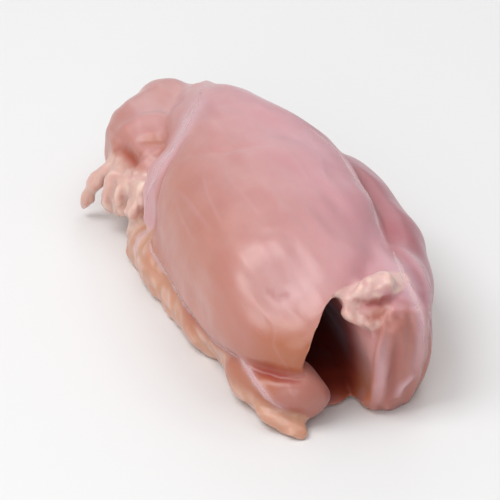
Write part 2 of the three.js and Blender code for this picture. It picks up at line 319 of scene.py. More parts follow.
# %% Grow the skins together
MUSCLE_VOXEL = 0.8
THIN_VOXEL = 0.5
SKIN_VOXEL = 0.54
SMOOTH_FACTOR = 0.5
MUSCLE_SMOOTHING = 8
SKIN_SMOOTHING = 4


def apply_modifiers(piece):
    """Bakes the modifiers into the mesh."""
    ready = piece.evaluated_get(bpy.context.evaluated_depsgraph_get())
    mesh = bpy.data.meshes.new_from_object(ready)
    piece.modifiers.clear()
    piece.data = mesh
    mesh.materials.clear()


def grow_together(piece, voxel):
    """Replaces overlapping skins by one even skin of quads, voxel millimetres wide."""
    remesh = piece.modifiers.new("grow", "REMESH")
    remesh.mode = "VOXEL"
    remesh.voxel_size = voxel * MM
    apply_modifiers(piece)


def combine(piece, other, operation):
    """Joins or cuts one closed mesh with another, and removes the other."""
    boolean = piece.modifiers.new("combine", "BOOLEAN")
    boolean.operation = operation
    boolean.object = other
    boolean.solver = "MANIFOLD"
    apply_modifiers(piece)
    bpy.data.objects.remove(other)


def soften(piece, rounds):
    """Moves each vertex half way to the mean of its neighbours, a number of times."""
    smooth = piece.modifiers.new("soften", "SMOOTH")
    smooth.factor = SMOOTH_FACTOR
    smooth.iterations = rounds
    apply_modifiers(piece)


fillet = skins_of("fillet_flesh", [surfaces[name] for name in MUSCLES])
grow_together(fillet, MUSCLE_VOXEL)
soften(fillet, MUSCLE_SMOOTHING)
combine(fillet, skins_of("hollow", [lobe_surface(**HOLLOW)]), "DIFFERENCE")
thin = skins_of("thin", [surfaces[name] for name in FRINGE | FLAPS])
grow_together(thin, THIN_VOXEL)
combine(fillet, thin, "UNION")
grow_together(fillet, SKIN_VOXEL)
soften(fillet, SKIN_SMOOTHING)
print("skin has", len(fillet.data.polygons), "faces")

# %% [markdown]
# Relief comes next, in numpy: every vertex moves along its normal by a sum of heights. So places
# and normals are read as arrays with a row per vertex. A loop over the vertices would read them
# too, but foreach_get takes them all at once.

# %% Read the skin as arrays
def vertex_array(piece, name):
    """One vector per vertex, as rows of three."""
    flat = np.empty(len(piece.data.vertices) * 3, np.float32)
    source = piece.data.vertices if name == "co" else piece.data.vertex_normals
    source.foreach_get(name if name == "co" else "vector", flat)
    return flat.reshape(-1, 3).astype(float)


def smooth_step(low, high, values):
    """0 below low, 1 above high, and 3x^2 - 2x^3 of the way between."""
    x = np.clip((values - low) / (high - low), 0, 1)
    return x * x * (3 - 2 * x)


skin = vertex_array(fillet, "co") / MM
print("skin spans, mm:", skin.min(0).round(1), skin.max(0).round(1))

# %% [markdown]
# Smoothing and colour follow the lobes: the fringe is fat, and the hollow is painted dark, which is
# painted shade. So each point of the skin is measured against the nearest section of a lobe. The
# distance to the lobe's own mesh would do too, but this measure is in parts of the lobe's width, so one
# number suits them all.

# %% Measure the skin against a lobe
PATH_SAMPLES = 60
PATH_ENDS = (0.02, 0.98)
THIN_REACH = (1.05, 1.5)


def lobe_field(lobe):
    """How far out of a lobe each skin point is: (|a / width|^p + |b / height|^p)^(1/p) of its
    offsets a and b in the nearest section, so 1 is on the lobe's own surface. Past a lobe's end,
    what the distance is over the half width is added."""
    t = np.linspace(*PATH_ENDS, PATH_SAMPLES)
    places = [station[:3] for station in lobe["stations"]]
    path = through(places, t)
    girth = through([station[3:] for station in lobe["stations"]], t)
    side, rise = path_axes(places, t, lobe["upright"])
    roll = np.radians(girth[:, 2:])
    across = side * np.cos(roll) + rise * np.sin(roll)
    upward = rise * np.cos(roll) - side * np.sin(roll)
    nearest = np.full(len(skin), np.inf)
    which = np.zeros(len(skin), int)
    for i, place in enumerate(path):
        gap = ((skin - place) ** 2).sum(1)
        closer = gap < nearest
        nearest[closer] = gap[closer]
        which[closer] = i
    offset = skin - path[which]
    beyond = np.maximum(np.sqrt(nearest) / girth[which, :2].max(1) - 1, 0)
    a = np.abs((offset * across[which]).sum(1)) / girth[which, 0]
    b = np.abs((offset * upward[which]).sum(1)) / girth[which, 1]
    return (a ** lobe["power"] + b ** lobe["power"]) ** (1 / lobe["power"]) + beyond


near_dome = (lobe_field(MUSCLES["dome"]) < THIN_REACH[1]).mean()
print(round(100 * near_dome), "% of the skin is near the dome")

# %% [markdown]
# The voxels leave small steps on the rims of the thick muscles. More smoothing takes them away, but
# it would also melt the thin fat, so the pull is a number per vertex that falls to little on it.

# %% Smooth the muscles and spare the thin fat
THIN_PULL = 0.06
THICK_PULL = 0.5
RELAX_ROUNDS = 24


def relax(points, edges, pull, rounds):
    """Each round moves every point by its pull times the way to the mean of its neighbours."""
    count = np.bincount(edges.ravel(), minlength=len(points))[:, None]
    for _ in range(rounds):
        total = np.zeros_like(points)
        for here, there in ((0, 1), (1, 0)):
            for axis in range(3):
                reach = points[edges[:, there], axis]
                total[:, axis] += np.bincount(edges[:, here], reach, len(points))
        points = points + pull[:, None] * (total / count - points)
    return points


def put_places(piece, places):
    """Moves the vertices to places in millimetres."""
    piece.data.vertices.foreach_set("co", (places * MM).astype(np.float32).ravel())
    piece.data.update()


edges = np.empty(2 * len(fillet.data.edges), np.int32)
fillet.data.edges.foreach_get("vertices", edges)
out_of_thin = np.minimum.reduce([lobe_field(lobe) for lobe in (FRINGE | FLAPS).values()])
pull = THIN_PULL + (THICK_PULL - THIN_PULL) * smooth_step(*THIN_REACH, out_of_thin)
skin = relax(skin, edges.reshape(-1, 2), pull, RELAX_ROUNDS)
put_places(fillet, skin)
normal = vertex_array(fillet, "normal")
print("thin fat holds", round(100 * (pull < THICK_PULL).mean()), "% of the vertices")

# %% [markdown]
# Creases, seams and rims are lines on the skin. A line is a few places near the skin with a smooth
# path through them, and its samples go to the nearest vertices. Every point of the skin then learns
# its distance from the line, its side of it and its share of the way along. A curve object with a
# Shrinkwrap would lie on the skin as well, but it would tell the skin nothing.

# %% Measure the skin against a line
LINE_SAMPLES = 90
LINE_SMOOTHING = 8
TAPER_POWER = 0.7


def line_field(places):
    """For each skin point: its distance to a line on the skin, its signed distance to the left of
    it, and the share of the way along."""
    line = through(places, np.linspace(0, 1, LINE_SAMPLES))
    on_skin = np.array([((skin - place) ** 2).sum(1).argmin() for place in line])
    line = skin[on_skin]
    upward = normal[on_skin]
    for _ in range(LINE_SMOOTHING):
        line[1:-1] = (line[:-2] + line[1:-1] + line[2:]) / 3
        upward[1:-1] = (upward[:-2] + upward[1:-1] + upward[2:]) / 3
    nearest = np.full(len(skin), np.inf)
    which = np.zeros(len(skin), int)
    for i, place in enumerate(line):
        gap = ((skin - place) ** 2).sum(1)
        closer = gap < nearest
        nearest[closer] = gap[closer]
        which[closer] = i
    forward = unit(np.gradient(line, axis=0))
    left = unit(np.cross(upward, forward))
    side = ((skin - line[which]) * left[which]).sum(1)
    return np.sqrt(nearest), side, which / (LINE_SAMPLES - 1)


def swell(share):
    """The strength along a line: a half sine to a low power, so both ends taper off."""
    return np.sin(np.pi * share) ** TAPER_POWER


print("a line is strongest half way,", swell(0.5), "and at a tenth of it has", swell(0.1).round(2))

# %% [markdown]
# The lines are what a cook's eye would draw first: the raised seam of membrane, the knuckle and the
# pocket under it, the furrow beside the flank, the creases where fat meets flesh. Sculpting would
# make them too, but a stroke of a brush can't be read or changed later, and a line can.

# %% Draw the lines that show
# name: (kind, height, width, places), in millimetres
LINES = {
    "ridge_crest": ("bump", 0.3, 1.3, [
        (2, 40, 27.5), (-1.9, 29.8, 29.3), (-6.5, 23.5, 29), (-9.9, 18.8, 27.8),
        (-13.2, 16.6, 26), (-16.6, 14.8, 24), (-19.6, 13, 20.6), (-22, 12, 16.4),
        (-23.2, 11, 11)]),
    "ridge_crease": ("bump", -0.7, 1.0, [
        (-10, 15.4, 28), (-12.4, 13.6, 26.2), (-15, 12.6, 24.2), (-17.1, 11.4, 22.2),
        (-18.6, 10.1, 19.1), (-19.3, 9.2, 15.5)]),
    "knuckle": ("bump", 0.9, 2.2, [
        (-19.4, 37.5, 17), (-17.6, 35.5, 20.6), (-15.6, 34.6, 22.8), (-12.4, 34, 24.3),
        (-9, 33, 24.6), (-6.5, 31.5, 25)]),
    "pocket": ("bump", -2.6, 2.5, [
        (-18.8, 33, 19), (-18.5, 30.6, 18), (-18.1, 28.2, 17.6), (-17.7, 26, 17.7),
        (-17.4, 23.9, 18.2)]),
    "pocket_shade": ("bump", -1.0, 1.5, [
        (-16.8, 29.6, 20), (-15, 27.8, 21.8), (-13.2, 26.8, 22.4), (-11.4, 25.4, 22.7),
        (-9.6, 24.4, 23.6)]),
    "strip_crease": ("bump", -0.9, 1.2, [
        (-21.8, 8, 11.5), (-22.6, 2.4, 9.2), (-22.4, -6, 7.8), (-22.8, -17.6, 8),
        (-22.5, -28.4, 7.9), (-21.4, -36, 8.4), (-20.5, -42, 9.4), (-19.4, -47, 9.9)]),
    "crimson_crease": ("bump", -1.3, 1.3, [
        (-19.9, -45.8, 10), (-18.8, -48.4, 9.9), (-17.4, -50.6, 9.9), (-15.6, -53, 10),
        (-13.4, -54.8, 10.2), (-11, -56, 11)]),
    "nub": ("bump", 0.4, 1.0, [
        (-15.6, 23.4, 20.8), (-14.4, 23.2, 21.6), (-13.2, 23.2, 22.1), (-11.8, 22.8, 22.6)]),
    "dent": ("bump", -0.22, 0.8, [
        (-16.4, -43.4, 26), (-15.6, -44.2, 26), (-14.8, -46, 25.7), (-13.1, -46.9, 26.2),
        (-11.6, -47.3, 26.9)]),
    "long_dent": ("bump", -0.25, 1.3, [
        (-14.6, 9, 27), (-10.7, 3.4, 30.5), (-6.6, -0.2, 32.2), (-1.1, -2.8, 33.7),
        (4, -4, 34)]),
    "cross_dent": ("bump", -0.22, 1.4, [
        (-18.6, -27, 27), (-13.4, -31.6, 30.5), (-9.3, -34.7, 31.4), (-5, -37, 31.4)]),
    "furrow": ("bump", -1.3, 2.2, [
        (19.5, 6, 26.5), (19.6, -4, 26.6), (19, -12, 26.6), (18, -20, 26.4), (16.6, -28, 26),
        (15.2, -35, 25.4), (13.8, -41, 25), (12.6, -46, 25)]),
    "furrow_edge": ("step", 0.4, 3.0, [
        (12.6, 10, 31), (14.9, -0.3, 30.7), (15.9, -7, 30), (15.5, -13, 29.8), (15.3, -18.4, 29.3),
        (15.1, -24, 28.3), (14.6, -30, 27.2), (13.6, -36, 26.4), (12, -42, 25.8)]),
    "flank_film": ("step", 0.5, 3.0, [
        (13.4, -40, 25), (12.2, -45.4, 25.3), (11.9, -51.6, 24.8), (12.2, -55.7, 23.4),
        (12.3, -58.3, 21.4), (12.2, -59.8, 18), (11.6, -60.2, 12), (10.4, -60, 7)]),
    "flank_fold": ("bump", 0.7, 1.5, [
        (15, -37, 26), (16.5, -43.5, 25.4), (17.2, -48.2, 23.3), (16.3, -52.9, 21.5),
        (14.1, -58, 20.3), (12.8, -59.6, 17)]),
    "fat_crease": ("bump", -0.9, 0.7, [
        (-0.6, -52.2, 24.4), (1.4, -52.7, 23.6), (3.2, -53.3, 23.3), (5.2, -53.7, 23.4),
        (6.7, -53.9, 23.6), (8, -53.8, 23.9)]),
    "band_crease": ("bump", -0.3, 0.9, [
        (0.4, -55.6, 22.4), (2.6, -56.4, 22), (5, -56.2, 22.4), (7, -55.8, 23)]),
    "face_ridge": ("bump", 0.6, 1.4, [
        (3.6, -59, 19.5), (3.2, -59.6, 14), (3, -59.6, 8), (2.8, -59, 2)]),
    "face_groove": ("bump", -0.7, 1.3, [
        (6.4, -60, 19.5), (6.2, -60, 13), (5.6, -60, 7), (5.2, -60, 1.5)]),
    "face_fold": ("bump", 0.6, 0.9, [
        (6.6, -60.3, 3), (7.8, -60.3, 6), (9.4, -60, 7.4), (10.8, -59.8, 9.6)]),
    "face_hollow": ("bump", -0.5, 1.5, [
        (8.9, -54.6, 23.6), (9.6, -57.3, 21.8), (9.7, -59.4, 18.6), (9.5, -60, 13.5),
        (8.8, -60, 8.5)]),
    "tongue_line": ("bump", 0.45, 0.8, [
        (-20.6, -43, 11), (-20.3, -45.5, 9.8), (-19.8, -49.3, 8.9), (-19, -53, 7.6),
        (-17.4, -55.6, 5.6), (-15, -57.6, 4.6)]),
    "first_groove": ("bump", -0.8, 0.8, [
        (-21.6, 26.8, 15.6), (-22.9, 26.4, 13.1), (-23.3, 26.1, 10.3), (-22.5, 28.5, 5.3)]),
    "second_groove": ("bump", -0.7, 0.8, [
        (-20.4, 22.4, 17.4), (-21.5, 22.3, 16.2), (-21.8, 22.3, 12.7), (-21.1, 24.6, 6.7)]),
    "tip_crease": ("bump", -0.6, 1.0, [
        (-18.6, -51, 4.6), (-17.2, -55.2, 4.4), (-14.2, -58, 4), (-11, -58.8, 3)]),
}
print(len(LINES), "lines with", sum(len(line[3]) for line in LINES.values()), "places")

# %% [markdown]
# A bump rises or sinks to both sides of its line, and a step rises sharply and then falls away on
# one side only. Near the lip the broad pale patch hangs slack, so there the skin is brought nearer
# to a plane. All these heights are added up first, so the order of the lines does not matter.

# %% Raise and sink the skin along the lines
SLACK_PATCH = dict(middle=(-13.2, -45, 27), reach=12.0, share=0.75)
STEP_RIM = (-0.4, 0.5)
STEP_REACH = 3


def flattened(middle, reach, share):
    """Heights that bring a round patch nearer to its mean plane: -share * offset from the plane,
    times exp(-(distance from the middle / reach)^2)."""
    weight = np.exp(-((skin - middle) ** 2).sum(1) / reach ** 2)
    centre = (skin * weight[:, None]).sum(0) / weight.sum()
    upright = unit((normal * weight[:, None]).sum(0))
    return -share * weight * ((skin - centre) @ upright)


def relief_of(kind, rise, width, field):
    """A bump is rise * exp(-(distance / width)^2); a step is rise * exp(-side / width) to the left
    of the line and nothing to the right. Both follow the swell of the line."""
    distance, side, share = field
    if kind == "bump":
        return rise * np.exp(-(distance / width) ** 2) * swell(share)
    rim = smooth_step(*STEP_RIM, side) * np.exp(-np.maximum(side, 0) / width)
    return rise * rim * np.exp(-(distance / (STEP_REACH * width)) ** 2) * swell(share)


line_fields = {name: line_field(line[3]) for name, line in LINES.items()}
height = sum(relief_of(*line[:3], line_fields[name]) for name, line in LINES.items())
height += flattened(**SLACK_PATCH)
print(len(LINES), "lines move the skin by", height.min().round(2), "to", height.max().round(2), "mm")

# %% [markdown]
# The tissues differ in colour and lie in soft patches: cream fat, lilac membrane, brown cut muscle and
# a mauve flank. Light and shade are painted in patches too: the near black of a fold so deep that no
# light comes out, tan shade low down and under the lip, cool light on the right and pale highlights.
# Each patch becomes a mask, a number from 0 to 1 on every vertex, taken from the lobes and the lines.

# %% Find the fat
# lobe: (how much of the fat's colour it has, how far past its surface the colour fades)
FAT_SHARES = {
    "edge_strip": (0.25, 1.4), "fringe_root": (1, 1.3), "far_tassel": (1, 1.35),
    "middle_tassel": (1, 1.35), "near_tassel": (0.95, 1.35), "strand": (1, 2.2),
    "corner_tip": (0.3, 1.3), "fat_lump": (1, 1.3), "fat_band": (0.75, 1.5), "fat_pad": (0.2, 1.3),
}
OLD_FAT_LOBES = ("edge_strip", "corner_tip")
OLD_FAT_REACH = 1.4


def covered(lobe, reach):
    """1 in and on a lobe, falling to 0 where its field is at the reach."""
    return 1 - smooth_step(1.0, reach, lobe_field(lobe))


lobes = MUSCLES | FRINGE | FLAPS
fat = np.zeros(len(skin))
for name, (share, reach) in FAT_SHARES.items():
    fat = np.maximum(fat, share * covered(lobes[name], reach))

# x runs to the right, y away and z up, in millimetres: a mask starts at one place and is full at
# the next
x, y, z = skin.T
root_patch = smooth_step(-14.5, -17, x) * smooth_step(14, 17, y) * smooth_step(34, 31, y)
fat = np.maximum(fat, root_patch * smooth_step(18.5, 16.5, z) * smooth_step(4, 7, z))
old_fat = np.maximum.reduce([covered(lobes[name], OLD_FAT_REACH) for name in OLD_FAT_LOBES])
old_fat = old_fat * (1 - 0.8 * smooth_step(-40, -46, y) * smooth_step(3.5, 6, z))
print("fat covers", round(100 * (np.maximum(fat, old_fat) > 0.3).mean()), "% of the skin")

# %% [markdown]
# Where muscle was cut it has no membrane and dries brown: the right face and the tongue. Elsewhere a
# lilac film lies over it, and shows most along the seams. The same mask paints a pale patch near the
# lip, which is partly pale film and partly painted highlight, and a pale rim where the fillet turns
# away at the back, which is painted reflection. The largest of the terms wins, so patches that overlap
# don't add up to white.

# %% Find the cut muscle, the film and the painted highlights
# line: (how strong the film is on it, how wide, in millimetres)
FILM_LINES = {
    "ridge_crest": (0.8, 2.8), "flank_film": (0.85, 1.6), "flank_fold": (0.7, 1.6),
    "furrow_edge": (0.4, 0.9), "tongue_line": (0.6, 0.8), "face_fold": (0.7, 0.8),
    "face_ridge": (0.5, 1.2),
}
# how far the painted highlight on the pale patch reaches, and the slope whose faces get a painted rim
# reflection
HIGHLIGHT_REACH = 10
RIM_REFLECTION_SLOPE = (0.45, 0.65, 0.61)
STREAK_SIZE = 8
STREAK_WIDTH = 0.22


def near_line(name, width):
    """1 on a line, falling to 0 some widths away and at its ends."""
    distance, side, share = line_fields[name]
    return np.exp(-(distance / width) ** 2) * swell(share)


def near_lines(lines):
    """The strongest of several lines, each with its own strength and width."""
    return np.maximum.reduce([share * near_line(name, width) for name, (share, width) in lines.items()])


tongue = covered(FLAPS["tongue"], 1.3) * (1 - fat)
face = smooth_step(0.35, 0.8, -normal[:, 1]) * smooth_step(-1, 1.5, x) * smooth_step(54, 57, -y)
raw = np.maximum(face * smooth_step(25, 21, z), 0.9 * tongue * smooth_step(-19.5, -16, x))
raw = np.maximum(raw, 0.95 * near_line("face_hollow", 2.3))
patches = smooth_step(-0.2, 0.8, ripple_at(skin, 30, 32))
streaks = patches * np.exp(-(ripple_at(skin * (1, 0.1, 1), STREAK_SIZE, 31) / STREAK_WIDTH) ** 2)
ridge_foot = covered(MUSCLES["ridge"], 1.7) * smooth_step(26, 18, z)
wide_film = 0.85 * near_line("flank_film", 3.2) * smooth_step(-55, -51, y)
# a pale patch near the lip: partly pale film, partly painted highlight
pale_patch_highlight = np.exp(-((skin - SLACK_PATCH["middle"]) ** 2).sum(1) / HIGHLIGHT_REACH ** 2)
# a pale rim on faces that turn away up and to the back: painted reflection
rim_reflection = smooth_step(0.75, 0.99, normal @ RIM_REFLECTION_SLOPE)
# the membrane's lilac film, with the painted highlight and the painted rim reflection in it
film_and_highlight = np.maximum.reduce([near_lines(FILM_LINES), wide_film, 0.22 * pale_patch_highlight, 0.35 * rim_reflection,
                          0.12 * streaks, 0.6 * ridge_foot])
film_and_highlight = film_and_highlight * (1 - 0.8 * near_line("face_hollow", 1.6))
print("film covers", round(100 * (film_and_highlight > 0.3).mean()), "% of the skin")

# %% [markdown]
# The creases are painted crimson, which is partly juice that gathers in them and partly painted shade,
# and the hollow is painted almost black, as painted shade, since no light comes back out of it. Low
# down, on the left side, on the tongue's rim, under the lip and along some creases the flesh is painted
# tan: painted shade with painted warm reflected light. High on the right, beside the flank, the skin is
# lilac, partly its own tone and partly painted cool light, and the flank itself is mauve.

# %% Find the painted shade of the folds and the other tints
# line: (how strong the tint is on it, how wide, in millimetres)
# creases painted crimson: partly juice, partly painted shade
CRIMSON_AND_SHADE_LINES = {
    "crimson_crease": (0.9, 1.2), "fat_crease": (0.8, 0.8), "strip_crease": (0.3, 1.3),
    "ridge_crease": (0.35, 1.0), "band_crease": (0.35, 0.8), "face_groove": (0.4, 1.2),
    "dent": (0.25, 0.8), "furrow": (0.35, 1.6), "pocket": (0.6, 2.0),
}
# creases and the pocket painted tan: painted shade
WARM_SHADE_LINES = {
    "strip_crease": (0.8, 4), "pocket": (1, 3.2), "pocket_shade": (0.6, 1.8),
    "band_crease": (0.9, 1.6),
}
# the hollow is painted almost black, fullest deep inside and low down: painted shade
inside = covered(HOLLOW, 1.12) * smooth_step(-54.5, -47, y)
hollow_shade = inside * np.maximum(smooth_step(-53, -43, y), smooth_step(6, 2, z))
crimson_and_shade = np.maximum(0.8 * inside, near_lines(CRIMSON_AND_SHADE_LINES))
flank_side = line_fields["furrow_edge"][1]
# lilac high on the right: partly the flesh's own tone, partly painted cool light
lilac_and_cool_light = smooth_step(-14, 12, x) * smooth_step(12, 26, z) * (1 - smooth_step(20, 50, y))
mauve = smooth_step(-0.5, 2, flank_side) * smooth_step(8, 15, x) * (1 - smooth_step(10, 40, y))
# tan low down, on the left side, on the tongue's rim, under the lip and along creases: painted shade
# with painted warm reflected light
left_side = 0.5 * smooth_step(0.25, 0.95, -normal[:, 0]) * smooth_step(0, -16, x)
tongue_rim = 0.9 * tongue * smooth_step(12, 7, z) * smooth_step(-11, -17, x)
under_lip = smooth_step(28, 17, z) * smooth_step(38, 54, -y) * smooth_step(2, -4, x)
warm_shade = np.maximum.reduce([smooth_step(15, 3, z), left_side, tongue_rim, under_lip,
                         near_lines(WARM_SHADE_LINES)])
print("the hollow's dark covers", round(100 * (hollow_shade > 0.3).mean()), "% of the skin")

# %% [markdown]
# No tissue is smooth. Muscle has long faint swells along its fibres, and a cut face has fine upright
# strands. Fat is a cluster of lobules: a cell pattern, where the gap between the nearest and the
# second nearest of many random points is small along the creases and large on the lobules.

# %% Work out lobules
HASH_WAY = np.array([127.1, 311.7, 74.7])
HASH_SPREAD = 43758.5453
FOLD_SIZE = 2.6
LOBULE_SIZE = 3.6


def random_share(cells, seed):
    """A fixed random number in 0..1 for each cell: the fraction of a very steep sine."""
    return np.modf(np.abs(np.sin(cells @ HASH_WAY + seed) * HASH_SPREAD))[0]


def lobules(points, size, seed):
    """One random point per cube of the given size; the distance to the nearest one is taken from
    the distance to the second nearest, over the size: 0 in the creases, up to 1 on a lobule."""
    cell = np.floor(points / size)
    first = np.full(len(points), np.inf)
    second = first.copy()
    for shift in itertools.product((-1, 0, 1), repeat=3):
        neighbour = cell + shift
        jitter = np.stack([random_share(neighbour, seed + axis) for axis in range(3)], 1)
        gap = np.linalg.norm(points - (neighbour + jitter) * size, axis=1)
        second = np.minimum(second, np.maximum(gap, first))
        first = np.minimum(first, gap)
    return (second - first) / size


folds = smooth_step(0.0, 0.5, lobules(skin * (1, 1, 0.35), FOLD_SIZE, 9))
plump = smooth_step(0.0, 0.5, lobules(skin * (1, 0.6, 1), LOBULE_SIZE, 5))
print("lobules of", FOLD_SIZE, "mm on the fringe and", LOBULE_SIZE, "mm elsewhere")

# %% [markdown]
# Each tissue takes the unevenness that is its own: long swells and faint streaks on the muscle, lobules
# on the fat, upright strands on the cut face. A displacement in the material would look the same in a
# render, but here it moves the mesh, so that the mesh itself has it too.

# %% Give each tissue its own unevenness
# name: (height, wavelength, stretch along x, y and z, seed), lengths in millimetres
RIPPLES = {
    "swell": (0.20, 17, (1, 1, 1), 21), "fibre": (0.06, 4.5, (1, 0.4, 1), 22),
    "fat": (0.12, 4.2, (1, 1, 1), 23), "cut_strand": (0.16, 1.9, (1, 1, 0.12), 25),
    "strand": (0.1, 2.4, (1, 1, 1), 26),
}
STREAK_HEIGHT = 0.06
LOBULE_HEIGHT = 0.34
LOBULE_LEVEL = 0.6


def ripple_height(name):
    """A ripple's height at each skin point, from its row in the table."""
    rise, wavelength, stretch, seed = RIPPLES[name]
    return rise * ripple_at(skin * stretch, wavelength, seed)


hanging = np.maximum.reduce([1 - smooth_step(1.2, 1.6, lobe_field(lobe)) for lobe in FRINGE.values()])
plump = plump + (folds - plump) * hanging
strand = covered(FRINGE["strand"], 1.5)
fatty = np.maximum(smooth_step(0.2, 0.8, fat) * (1 - strand), 0.8 * old_fat)
height += ripple_height("swell")
height += STREAK_HEIGHT * streaks * (1 - fat)
height += ripple_height("fibre") * (1 - fat)
height += fatty * (LOBULE_HEIGHT * (plump - LOBULE_LEVEL) + (1 - hanging) * ripple_height("fat"))
height += face * ripple_height("cut_strand")
height += strand * ripple_height("strand")
relief = skin + normal * height[:, None]
relief[:, 2] = np.maximum(relief[:, 2], 0)
put_places(fillet, relief + TO_FRAME)
fillet.data.polygons.foreach_set("use_smooth", np.ones(len(fillet.data.polygons), bool))
print("all relief, mm:", height.min().round(2), "to", height.max().round(2))

# %% [markdown]
# The material has to know the tissues. A mask could be a texture, but the skin has no map, so each
# one is kept as an attribute: a number on every vertex, which a material reads by its name.

# %% Keep the masks on the mesh
def paint_mask(piece, name, values):
    """Keeps one number per vertex for the material."""
    layer = piece.data.attributes.new(name, "FLOAT", "POINT")
    layer.data.foreach_set("value", np.clip(values, 0, 1).astype(np.float32))


# the fat's cream is weaker in the creases between lobules: painted shade
fat_with_crease_shade = np.maximum(fat * (0.6 + 0.4 * plump), old_fat * 0.45 * plump ** 2)
MASKS = {"lilac_and_cool_light": lilac_and_cool_light, "mauve": mauve, "warm_shade": warm_shade, "raw": raw, "old_fat": old_fat,
         "film_and_highlight": film_and_highlight * (1 - 0.7 * fat), "fat": fat_with_crease_shade, "crimson_and_shade": crimson_and_shade, "hollow_shade": hollow_shade}
for name, values in MASKS.items():
    paint_mask(fillet, name, values)
    print("mask", name, "mean", values.mean().round(3))

# %% [markdown]
# Raw meat is wet, and its juice stands in a film of uneven thickness: some spots are glossy and
# others are satin. Flesh and membrane share this, so it is a node group with named sockets. Two
# noises would do as well in each material, but then a change would have to be made twice.

# %% The unevenness of the juice, as a node group
wet_mottle = bpy.data.node_groups.new("wet_mottle", "ShaderNodeTree")
wet_mottle.interface.new_socket("Place", in_out="INPUT", socket_type="NodeSocketVector")
wet_mottle.interface.new_socket("Roughness", in_out="OUTPUT", socket_type="NodeSocketFloat")
wet_mottle.interface.new_socket("Normal", in_out="OUTPUT", socket_type="NodeSocketVector")
JUICE_PATCH = 5
JUICE_RANGE = (0.3, 0.7)
JUICE_ROUGHNESS = (0.37, 0.52)
JUICE_GRAIN = 1.1
GRAIN_DEPTH = 0.15
GRAIN_STRENGTH = 0.35


def noise(tree, place, size, detail=3, stretch=(1, 1, 1)):
    """A noise of the place whose features are about size millimetres across."""
    mapping = tree.nodes.new("ShaderNodeMapping")
    mapping.inputs["Scale"].default_value = stretch
    tree.links.new(place, mapping.inputs["Vector"])
    texture = tree.nodes.new("ShaderNodeTexNoise")
    texture.inputs["Scale"].default_value = 1 / (size * MM)
    texture.inputs["Detail"].default_value = detail
    tree.links.new(mapping.outputs["Vector"], texture.inputs["Vector"])
    return texture.outputs["Fac"]


def spread(tree, value, low, high, to_low=0.0, to_high=1.0):
    """A value's range from low to high, carried over to another range."""
    node = tree.nodes.new("ShaderNodeMapRange")
    tree.links.new(value, node.inputs["Value"])
    node.inputs["From Min"].default_value = low
    node.inputs["From Max"].default_value = high
    node.inputs["To Min"].default_value = to_low
    node.inputs["To Max"].default_value = to_high
    return node.outputs["Result"]


def fill_wet_mottle(tree):
    """Roughness from broad patches, and a normal from a fine grain that runs along the fibres."""
    place = tree.nodes.new("NodeGroupInput").outputs["Place"]
    result = tree.nodes.new("NodeGroupOutput")
    patches = noise(tree, place, JUICE_PATCH, 4)
    tree.links.new(spread(tree, patches, *JUICE_RANGE, *JUICE_ROUGHNESS), result.inputs["Roughness"])
    bump = tree.nodes.new("ShaderNodeBump")
    bump.inputs["Distance"].default_value = GRAIN_DEPTH * MM
    bump.inputs["Strength"].default_value = GRAIN_STRENGTH
    tree.links.new(noise(tree, place, JUICE_GRAIN, 3, (1, 0.35, 1)), bump.inputs["Height"])
    tree.links.new(bump.outputs["Normal"], result.inputs["Normal"])


fill_wet_mottle(wet_mottle)
print("wet_mottle has", len(wet_mottle.nodes), "nodes")

# %% [markdown]
# Flesh and membrane are both wet, so their materials start alike: roughness and normal come from
# the juice, and a thin clear coat is the juice itself. Two helpers read a mask and blend colours.

# %% Helpers for a wet material
WET_COAT = {"Coat Weight": 0.35, "Coat Roughness": 0.26}


def set_sockets(shader, values):
    """Sets what is the same all over a piece."""
    for name, value in values.items():
        shader.inputs[name].default_value = value


def mask(tree, name):
    """A mask that the mesh carries."""
    node = tree.nodes.new("ShaderNodeAttribute")
    node.attribute_name = name
    return node.outputs["Fac"]


def blend_colour(tree, share, first, second):
    """First colour where the share is 0, second where it is 1."""
    node = tree.nodes.new("ShaderNodeMix")
    node.data_type = "RGBA"
    tree.links.new(share, node.inputs["Factor"])
    for socket, value in ((node.inputs["A"], first), (node.inputs["B"], second)):
        if isinstance(value, tuple):
            socket.default_value = value
        else:
            tree.links.new(value, socket)
    return node.outputs["Result"]


def wet_material(name):
    """A material whose roughness and normal come from the juice, and its place and shader."""
    material = bpy.data.materials.new(name)
    material.use_nodes = True
    tree = material.node_tree
    shader = tree.nodes["Principled BSDF"]
    place = tree.nodes.new("ShaderNodeTexCoord").outputs["Object"]
    juice = tree.nodes.new("ShaderNodeGroup")
    juice.node_tree = wet_mottle
    tree.links.new(place, juice.inputs["Place"])
    tree.links.new(juice.outputs["Roughness"], shader.inputs["Roughness"])
    tree.links.new(juice.outputs["Normal"], shader.inputs["Normal"])
    set_sockets(shader, WET_COAT)
    return material, tree, shader, place


print("the wet coat is", WET_COAT)

# %% [markdown]
# One material covers the fillet, because its tissues fade into one another and a border between two
# materials would be sharp. The masks blend its colours in the order in which the tissues lie, from
# the muscle up to the fat, and shade the folds last. Light sinks in and comes back redder, which is
# the subsurface part, and the sheen is the haze of membrane.

# %% Flesh material
MUSCLE_ROSE = (0.51, 0.235, 0.218, 1)
MUSCLE_PALE = (0.57, 0.285, 0.265, 1)
MUSCLE_BLUSH = (0.51, 0.21, 0.195, 1)
# lilac: partly the flesh's own tone, partly painted cool light
LILAC_AND_COOL_LIGHT = (0.57, 0.27, 0.305, 1)
FLANK_MAUVE = (0.40, 0.13, 0.155, 1)
# tan: painted shade with painted warm reflected light
WARM_SHADE = (0.43, 0.135, 0.06, 1)
RAW_BROWN = (0.43, 0.165, 0.135, 1)
OLD_FAT = (0.52, 0.235, 0.13, 1)
